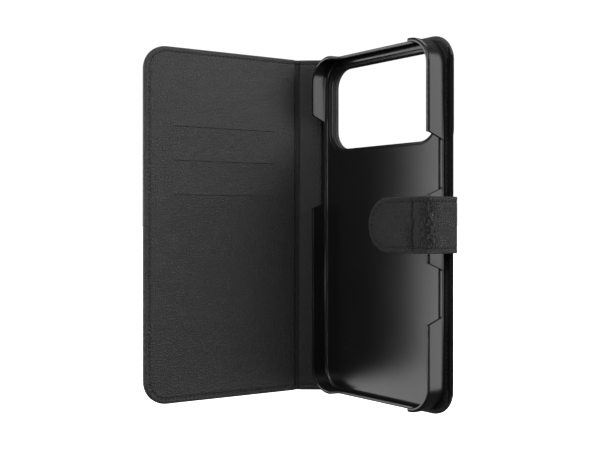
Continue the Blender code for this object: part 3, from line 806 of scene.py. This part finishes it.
def crease_push(reach, height):
    """How far use has pushed the upper leather in at a place of the strap."""
    crumple = noise.noise(Vector((reach / (1.1 * MM), (height + 0.6 * reach) / (1.9 * MM), 2.4)))
    at_fold = valley(reach - tip_fold - 0.5 * MM, 5.5 * MM) ** 0.5
    push = DEEPEST_CREASE * at_fold * valley(crumple, 0.2)
    wander = noise.noise(Vector((0.3, height / (3.5 * MM), 5.4)))
    jag = noise.noise(Vector((0.3, height / (1.3 * MM), 7.4)))
    beyond = reach - tip_fold - 9.3 * MM - 1.1 * MM * wander - 0.6 * MM * jag
    push += DEEPEST_CREASE * valley(beyond, 0.9 * MM) ** 0.6
    ticks = (height + 1.4 * beyond) / (2.2 * MM) + 0.3 * crumple
    low_half = max(0.0, min(1.0, (3 * MM - height) / (5 * MM)))
    beside = valley(beyond - 1.9 * MM, 2.4 * MM) ** 0.5
    push += DEEPEST_CREASE * beside * low_half * valley(ticks - round(ticks), 0.26)
    return min(push, DEEPEST_CREASE)


# %% One leather of the strap
STRAP_SAME, STRAP_EDGE = 0.2 * MM, 0.5 * MM


def strap_layer(face, core, fine):
    """One leather of the strap, flat."""
    way = 1 if face > core else -1
    work = bmesh.new()
    press = work.verts.layers.float.new("press")
    steps = [(-0.12 * MM, core), (0.0, core + way * 0.1 * MM)] + seam_section(face, 0.0, way)
    bottom, upper = rings(work, strap_rect, STRAP_CORNERS, steps, segments=14)
    fill(work, bottom)
    fill(work, upper)
    for fold in (root_fold, tip_fold):
        slices(work, "reach", span(fold - 2.0 * MM, fold + 2.0 * MM, FINE_SLICE))
    if fine:
        slices(work, "reach", span(tip_fold - 7.25 * MM, tip_fold - 2.25 * MM, FINE_SLICE))
        slices(work, "reach", span(tip_fold + 2.25 * MM, tip_fold + 15.9 * MM, FINE_SLICE))
        slices(work, "height", span(-11.6 * MM, 11.6 * MM, 0.4 * MM))
        for spot in work.verts:
            from_edge = STRAP_HALF_WIDTH - STRAP_EDGE - abs(spot.co.z)
            if abs(spot.co.y - face) < STRAP_SAME and from_edge > 0:
                push = min(1.0, from_edge / (2 * MM)) * crease_push(spot.co.x, spot.co.z)
                spot.co.y -= way * push
                # Painted shade: the colour gets darker where the leather is pushed in.
                spot[press] = push / DEEPEST_CREASE
    return work


# %% Strap pieces
STRAP_BLEND = 1.5 * MM
ROOT_FOLD_RIDE = ("back", "strap_side", root_spot, -pi / 4, STRAP_BLEND)
TIP_FOLD_RIDE = ("strap_side", "strap_tip", tip_spot, -3 * pi / 4, STRAP_BLEND)
for label, face, core, root_nodes, tip_nodes in (
        ("leather", -STRAP_FACE, -STRAP_CORE, ("strap_root", "strap_side_leather"), ("strap_tip_leather",)),
        ("lining", STRAP_FACE, STRAP_CORE, ("strap_side_lining",), ("strap_tip_lining",))):
    for part, keep_low, nodes in (("root", True, root_nodes), ("tip", False, tip_nodes)):
        work = strap_layer(face, core, label == "leather")
        trim(work, mid_side, keep_low)
        piece = finish_piece(f"strap_{label}_{part}_half", work, strap_leather, strap_path)
        bend_over(piece, *(ROOT_FOLD_RIDE if keep_low else TIP_FOLD_RIDE))
        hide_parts(*nodes)

# %% [markdown]
# ## The stitches
#
# A lockstitch shows as short raised dashes that dive into the leather at both ends. Each dash is a
# small long ball with thirty faces, set into the seam's groove. A seam is a line of points, and the
# dashes are set along it at an even pitch, a little turned from the line, as a sewing machine
# leaves them.

# %% Stitches
STITCH_PITCH, STITCH_LONG, STITCH_WIDE, STITCH_HIGH = 2.1 * MM, 1.3 * MM, 0.60 * MM, 0.42 * MM
STITCH_SLANT = radians(7)
HALF_PITCH = 1.05 * MM
SEAM_INSET, SUNK = 2.3 * MM, 0.13 * MM


def seam_line(near, far, half, radii, closed=False):
    """Points along three sides of a panel, or all round it."""
    sketch = bmesh.new()
    edges = ring(sketch, (min(near, far), max(near, far), -half, half), radii, 0.0, segments=12)
    points = [edge.verts[1].co.copy() for edge in edges]
    sketch.free()
    if closed:
        return points + [points[0]]
    way = 1 if far > near else -1
    line = [point for point in points if (point.x - near) * way > 0.1 * MM]
    line.sort(key=lambda point: -point.z)
    return [Vector((near, 0, half))] + line + [Vector((near, 0, -half))]


def dashes(line, pitch, offset=0.0):
    """Middle and direction of each stitch along a line."""
    run, found = offset + pitch / 2, []
    for start, stop in zip(line, line[1:]):
        length = (stop - start).length
        while length > 1e-9 and run <= length:
            found.append((start.lerp(stop, run / length), (stop - start).normalized()))
            run += pitch
        run -= length
    return found


def set_stitch(work, middle, way, depth, slant):
    """One dash, lying along the seam at a depth."""
    angle = -Vector((way.x, way.z)).angle_signed(Vector((1, 0))) if way.length else 0.0
    turn = Matrix.Rotation(angle + slant, 4, "Y")
    size = Matrix.Diagonal((STITCH_LONG / 2, STITCH_HIGH / 2, STITCH_WIDE / 2, 1))
    poles = Matrix.Rotation(pi / 2, 4, "Y")
    bmesh.ops.create_uvsphere(work, u_segments=6, v_segments=5, radius=1,
                              matrix=Matrix.Translation((middle.x, depth, middle.z)) @ turn @ size @ poles)


def sew(name, line, faces, path, keep=None):
    """Stitches along a line on one or two faces of a panel. faces are (depth, way, offset)."""
    work = bmesh.new()
    for depth, way, offset in faces:
        for middle, heading in dashes(line, STITCH_PITCH, offset):
            if keep is None or keep(middle, way):
                set_stitch(work, middle, heading, depth, STITCH_SLANT * way)
    return finish_piece(name, work, seam_thread, path, sharp=60)


def clear_of_plateau(middle, way):
    """On the outside of the back, only the seam below the raised camera window shows."""
    return way > 0 or middle.z < plateau[2] - 1.5 * MM


def on_root_half(middle, way):
    """Stitches of the strap's first half. On the inner face they begin past the fold."""
    return middle.x < mid_side and (way < 0 or middle.x > root_fold + 1 * MM)


def on_tip_half(middle, way):
    """Stitches of the strap's second half."""
    return middle.x >= mid_side


# %% Seams
radius = PANEL_CORNER - SEAM_INSET
line = seam_line(cover_crease + 3.7 * MM, far_reach - SEAM_INSET, half_height - SEAM_INSET, (0.0, radius))
cover_seam = sew("cover_stitches", line, ((CARD_TOP - SUNK, 1, 0.0), (SUNK, -1, HALF_PITCH)), wallet)
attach(cover_seam, "front_cover")
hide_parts("cover_stitching")
line = seam_line(back_reach - 3.2 * MM, SEAM_INSET, half_height - SEAM_INSET, (radius, 0.0))
back_seam = sew("back_stitches", line, ((LINING_TOP - SUNK, 1, 0.0), (SUNK, -1, HALF_PITCH)), wallet,
                clear_of_plateau)
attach(back_seam, "back")
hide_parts("back_stitching")
strap_line = seam_line(SEAM_INSET, strap_end - SEAM_INSET, STRAP_HALF_WIDTH - SEAM_INSET,
                       (STRAP_CORNERS[0] - SEAM_INSET, STRAP_CORNERS[1] - SEAM_INSET), closed=True)
strap_faces = ((-STRAP_FACE + SUNK, -1, 0.0), (STRAP_FACE - SUNK, 1, HALF_PITCH))
root_seam = sew("strap_root_stitches", strap_line, strap_faces, strap_path, on_root_half)
bend_over(root_seam, *ROOT_FOLD_RIDE)
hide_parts("strap_root_thread", "strap_side_thread_upper", "strap_side_thread_lower")
tip_seam = sew("strap_tip_stitches", strap_line, strap_faces, strap_path, on_tip_half)
bend_over(tip_seam, *TIP_FOLD_RIDE)
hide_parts("strap_tip_thread")

# %% [markdown]
# ## The phone tray
#
# The tray is one moulding: a floor with a round inside corner, walls that lean over the phone with
# a small lip, a stepped camera window, notches for the side keys, and low walls at both ends. The
# whole section is one list of steps round the outline. The notches are cut with the same slanted
# shapes that a mould's slides have.

# %% Tray section
TRAY_CORNER, TRAY_RIM = 12.55 * MM, 12.5 * MM
tray_under = spine_spot.y - tray_box[1].y
outside = ((-0.3, 0.0), (0.0, 0.3), (0.0, 8.9), (-0.07, 9.28), (-0.24, 9.62), (-0.50, 9.87),
           (-0.80, 10.01), (-1.10, 10.05))
inside = ((-1.77, 10.05), (-1.83, 10.03), (-1.85, 9.97), (-1.85, 9.3), (-1.4, 8.85), (-1.4, 2.7),
          (-1.44, 2.2), (-1.62, 1.7), (-1.95, 1.33), (-2.4, 1.14), (-2.9, 1.1), (-3.2, 1.1))
window_edge = ((1.9, 1.1), (1.55, 1.1), (1.42, 1.07), (1.33, 1.0), (1.28, 0.88), (1.25, 0.74),
               (1.15, 0.70), (0.25, 0.70), (0.08, 0.66), (0.0, 0.55), (0.0, 0.2), (0.15, 0.0))


def tray_steps(steps):
    """Steps of a section in millimetres, above the tray's underside."""
    return [(out * MM, tray_under + up * MM) for out, up in steps]


work = bmesh.new()
tray_radii = (TRAY_CORNER, TRAY_CORNER)
under, floor = rings(work, tray, tray_radii, tray_steps(outside + inside), segments=14)
rim, rim_under = rings(work, window, window_corners, tray_steps(window_edge), segments=14)
fill(work, floor, rim)
fill(work, under, rim_under)
bmesh.ops.recalc_face_normals(work, faces=work.faces)
blank_mesh = bpy.data.meshes.new("tray_blank")
work.to_mesh(blank_mesh)
work.free()
blank = bpy.data.objects.new("tray_blank", blank_mesh)
bpy.context.scene.collection.objects.link(blank)
print("tray blank faces:", len(blank_mesh.polygons))


# %% Notches
def slide(name, points, axis, low, high, corner):
    """A mould slide: an outline with rounded corners, pushed along an axis."""
    work = bmesh.new()
    face = work.faces.new([work.verts.new((across, up, 0)) for across, up in points])
    bmesh.ops.bevel(work, geom=work.verts[:], offset=corner, segments=4, profile=0.5,
                    affect="VERTICES", material=-1)
    pushed = bmesh.ops.extrude_face_region(work, geom=work.faces[:])["geom"]
    bmesh.ops.translate(work, verts=[thing for thing in pushed if isinstance(thing, bmesh.types.BMVert)],
                        vec=(0, 0, high - low))
    for spot in work.verts:
        across, up, along = spot.co
        along += low
        spot.co = (along, up, across) if axis == "reach" else (across, up, along)
    work.normal_update()
    bmesh.ops.recalc_face_normals(work, faces=work.faces)
    mesh = bpy.data.meshes.new(name)
    work.to_mesh(mesh)
    work.free()
    cutter = bpy.data.objects.new(name, mesh)
    bpy.context.scene.collection.objects.link(cutter)
    return cutter


def notch_outline(low, high, slant, sill):
    """Slanted notch: low and high are its ends at the rim, sill its depth from the outer skin."""
    over = 2.0 * MM
    lean = slant * over / (TRAY_RIM - sill)
    return [(low + slant, sill), (high - slant, sill),
            (high + lean, TRAY_RIM + over), (low - lean, TRAY_RIM + over)]


NOTCH_SLANT, KEY_SILL, LEFT_SILL, LOW_WALL = 3.2 * MM, 3.6 * MM, 4.6 * MM, 6.7 * MM
KEY_NOTCHES = ((13.1 * MM, 40.9 * MM), (-43.7 * MM, -16.6 * MM))
LEFT_NOTCH = (8.1 * MM, 55.4 * MM)
EAR, EAR_SLANT = 13.3 * MM, 1.5 * MM
SLIDE_CORNER, SLIDE_REACH, PAST = 0.5 * MM, 3.1 * MM, 1 * MM
slides = [slide(f"key_notch_{number}", notch_outline(*ends, NOTCH_SLANT, KEY_SILL), "reach",
                tray[0] - PAST, tray[0] + SLIDE_REACH, SLIDE_CORNER)
          for number, ends in enumerate(KEY_NOTCHES)]
slides.append(slide("left_notch", notch_outline(*LEFT_NOTCH, NOTCH_SLANT, LEFT_SILL), "reach",
                    tray[1] - SLIDE_REACH, tray[1] + PAST, SLIDE_CORNER))
slides.append(slide("end_walls", notch_outline(tray[0] + EAR, tray[1] - EAR, EAR_SLANT, LOW_WALL), "height",
                    tray[2] - PAST, tray[3] + PAST, SLIDE_CORNER))
for cutter in slides:
    cut = blank.modifiers.new(cutter.name, "BOOLEAN")
    cut.operation, cut.solver, cut.object = "DIFFERENCE", "EXACT", cutter
graph = bpy.context.evaluated_depsgraph_get()
work = bmesh.new()
work.from_mesh(blank.evaluated_get(graph).to_mesh())
for thing in [blank] + slides:
    bpy.data.objects.remove(thing)


# %% Soften the cut edges
WALL_ZONE, NEAR_SILL = 3.3 * MM, 0.02 * MM


def in_notch(spot):
    """Whether a point lies where a slide cut the walls."""
    key_side, left_side = spot.x < tray[0] + WALL_ZONE, spot.x > tray[1] - WALL_ZONE
    keys = key_side and any(low - PAST < spot.z < high + PAST for low, high in KEY_NOTCHES)
    left = left_side and LEFT_NOTCH[0] - PAST < spot.z < LEFT_NOTCH[1] + PAST
    ends = not (key_side or left_side) and spot.y > LOW_WALL - 0.2 * MM
    return (keys and spot.y > KEY_SILL - NEAR_SILL) or (left and spot.y > LEFT_SILL - NEAR_SILL) or ends


SLIVER, EDGE_ROUND, EDGE_ANGLE = 2e-6, 0.16 * MM, radians(50)
bmesh.ops.remove_doubles(work, verts=work.verts, dist=SLIVER)
bmesh.ops.dissolve_degenerate(work, dist=SLIVER, edges=work.edges)
cut_edges = [edge for edge in work.edges
             if len(edge.link_faces) == 2 and edge.calc_face_angle(0) > EDGE_ANGLE
             and all(in_notch(spot.co) for spot in edge.verts)]
bmesh.ops.bevel(work, geom=cut_edges, offset=EDGE_ROUND, segments=2, profile=0.5, affect="EDGES",
                clamp_overlap=True, material=-1)
tray_shell = finish_piece("tray_moulding", work, tray_plastic, wallet)
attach(tray_shell, "back")
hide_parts("phone_tray")
print("notch edges softened:", len(cut_edges))
